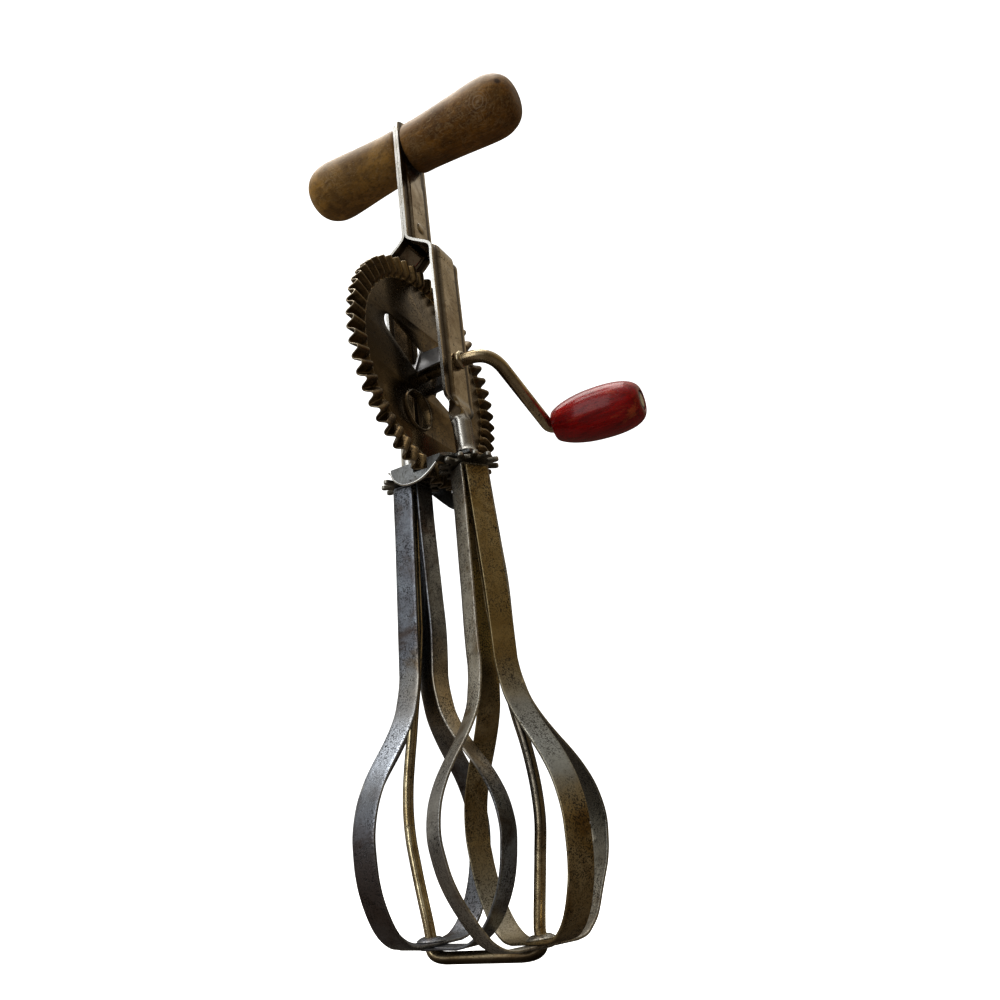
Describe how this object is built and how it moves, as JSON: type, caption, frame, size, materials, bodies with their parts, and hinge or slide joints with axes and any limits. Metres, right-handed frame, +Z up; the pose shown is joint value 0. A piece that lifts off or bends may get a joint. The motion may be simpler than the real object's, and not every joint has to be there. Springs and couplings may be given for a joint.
{
  "type": "rotary egg beater",
  "caption": "Hand-cranked rotary egg beater: a toothed wheel turns two interlacing strap dashers on a wire frame below a wooden handle.",
  "frame": {"origin": "middle of the handle, where the hand grips it", "axes": "+Z up along the straps from the dashers to the handle, +X along the handle and the wheel's axle towards the crank, +Y completes a right-handed frame"},
  "size_m": [0.1043, 0.0845, 0.2832],
  "materials": {
    "frame_steel": "worn plated sheet steel with bright edges",
    "wheel_steel": "brown tarnished plated sheet steel",
    "hub_steel": "blackened steel",
    "dasher_steel": "mottled, lightly pitted tinned steel",
    "wire_steel": "tarnished drawn wire",
    "crank_steel": "worn nickel plate with a golden tarnish",
    "handle_wood": "aged brown hardwood, satin with wear",
    "knob_wood": "red stained wood, semi-gloss and worn"
  },
  "bodies": {
    "frame": {"front_strap": "frame_steel", "rear_strap": "frame_steel", "neck_rivet": "frame_steel", "front_handle": "handle_wood", "rear_handle": "handle_wood", "handle_rod": "frame_steel", "wire_frame": "wire_steel", "yoke": "frame_steel"},
    "crank": {"drive_wheel": "wheel_steel", "hub_bracket": "hub_steel", "hub_back": "hub_steel", "axle_collar": "crank_steel", "axle_head": "frame_steel", "crank_wire": "crank_steel", "knob_rivet": "crank_steel"},
    "knob": {"knob": "knob_wood"},
    "left_dasher": {"left_pinion": "wheel_steel", "left_loop_outer": "dasher_steel", "left_loop_inner": "dasher_steel", "left_eyelet": "dasher_steel"},
    "right_dasher": {"right_pinion": "wheel_steel", "right_loop_outer": "dasher_steel", "right_loop_inner": "dasher_steel", "right_eyelet": "dasher_steel"}
  },
  "joints": [
    {"name": "crank_spin", "type": "hinge", "parent": "frame", "child": "crank", "pos_m": [0, 0, -0.0968], "axis": [1, 0, 0], "continuous": true},
    {"name": "left_dasher_spin", "type": "hinge", "parent": "frame", "child": "left_dasher", "pos_m": [-0.0107, 0, -0.1348], "axis": [0.0434, 0, 0.9991], "continuous": true},
    {"name": "right_dasher_spin", "type": "hinge", "parent": "frame", "child": "right_dasher", "pos_m": [0.0107, 0, -0.1348], "axis": [-0.0434, 0, 0.9991], "continuous": true},
    {"name": "knob_spin", "type": "hinge", "parent": "crank", "child": "knob", "pos_m": [0.02769, 0.03416, -0.11324], "axis": [0.9981, 0.055, -0.0265], "continuous": true}
  ],
  "couplings": [
    {"joint": "left_dasher_spin", "follows": "crank_spin", "ratio": 4.3333},
    {"joint": "right_dasher_spin", "follows": "crank_spin", "ratio": -4.3333}
  ]
}
